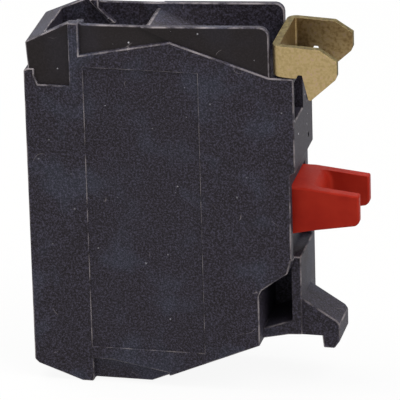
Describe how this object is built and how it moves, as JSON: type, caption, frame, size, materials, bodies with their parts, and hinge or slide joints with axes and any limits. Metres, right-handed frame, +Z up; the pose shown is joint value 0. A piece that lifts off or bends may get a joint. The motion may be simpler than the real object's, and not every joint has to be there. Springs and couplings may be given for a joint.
{
  "type": "push button contact block",
  "caption": "Slim clip-on contact block for a panel push button: dark two-part housing, sprung red forked plunger, zinc-plated latch clip and lower hook.",
  "frame": {"origin": "on the plunger axis, in the plane of the front seating face, midway across the width", "axes": "+X out of the front towards the panel, along the plunger; +Z up, towards the latch clip; +Y across the width"},
  "size_m": [0.0367, 0.01, 0.0429],
  "materials": {
    "housing": "fine moulded texture",
    "plunger_red": "satin moulded",
    "carrier_nylon": "satin moulded",
    "contact_brass": "stamped",
    "silver": "matt silver alloy",
    "yellow_zinc": "yellow-passivated zinc plate",
    "zinc_steel": "zinc plate",
    "spring_steel": "drawn wire"
  },
  "bodies": {
    "housing": {"housing_near": "housing", "housing_far": "housing", "terminal_top": "contact_brass", "fixed_contact_top": "silver", "terminal_nut_top": "zinc_steel", "terminal_bottom": "contact_brass", "fixed_contact_bottom": "silver", "terminal_nut_bottom": "zinc_steel"},
    "plunger": {"plunger_head": "plunger_red", "contact_carrier": "carrier_nylon", "return_spring": "spring_steel"},
    "bridge": {"contact_bridge": "contact_brass", "bridge_contact_top": "silver", "bridge_contact_bottom": "silver", "contact_spring": "spring_steel"},
    "latch": {"latch_clip": "yellow_zinc", "latch_spring": "spring_steel"},
    "washer_top": {"clamp_washer_top": "zinc_steel"},
    "screw_top": {"terminal_screw_top": "zinc_steel"},
    "washer_bottom": {"clamp_washer_bottom": "zinc_steel"},
    "screw_bottom": {"terminal_screw_bottom": "zinc_steel"}
  },
  "joints": [
    {"name": "plunger_slide", "type": "slide", "parent": "housing", "child": "plunger", "axis": [-1, 0, 0], "range_m": [0, 0.0043], "stiffness_N_per_m": 350, "springref_m": -0.003, "deforming": ["return_spring"]},
    {"name": "bridge_slide", "type": "slide", "parent": "housing", "child": "bridge", "axis": [-1, 0, 0], "range_m": [0, 0.0028], "deforming": ["contact_spring"]},
    {"name": "latch_slide", "type": "slide", "parent": "housing", "child": "latch", "axis": [0, 0, 1], "range_m": [0, 0.002], "stiffness_N_per_m": 900, "springref_m": -0.002, "deforming": ["latch_spring"]},
    {"name": "washer_top_slide", "type": "slide", "parent": "housing", "child": "washer_top", "axis": [-1, 0, 0], "range_m": [0, 0.0024]},
    {"name": "screw_top_turn", "type": "hinge", "parent": "washer_top", "child": "screw_top", "pos_m": [-0.02, 0, 0.0143], "axis": [-1, 0, 0], "range_deg": [0, 1440]},
    {"name": "washer_bottom_slide", "type": "slide", "parent": "housing", "child": "washer_bottom", "axis": [-1, 0, 0], "range_m": [0, 0.0024]},
    {"name": "screw_bottom_turn", "type": "hinge", "parent": "washer_bottom", "child": "screw_bottom", "pos_m": [-0.02, 0, -0.0143], "axis": [-1, 0, 0], "range_deg": [0, 1440]}
  ],
  "couplings": [
    {"joint": "bridge_slide", "follows": "plunger_slide", "ratio": 0.65116},
    {"joint": "screw_top_turn", "follows": "washer_top_slide", "rad_per_m": 10472},
    {"joint": "screw_bottom_turn", "follows": "washer_bottom_slide", "rad_per_m": 10472}
  ]
}
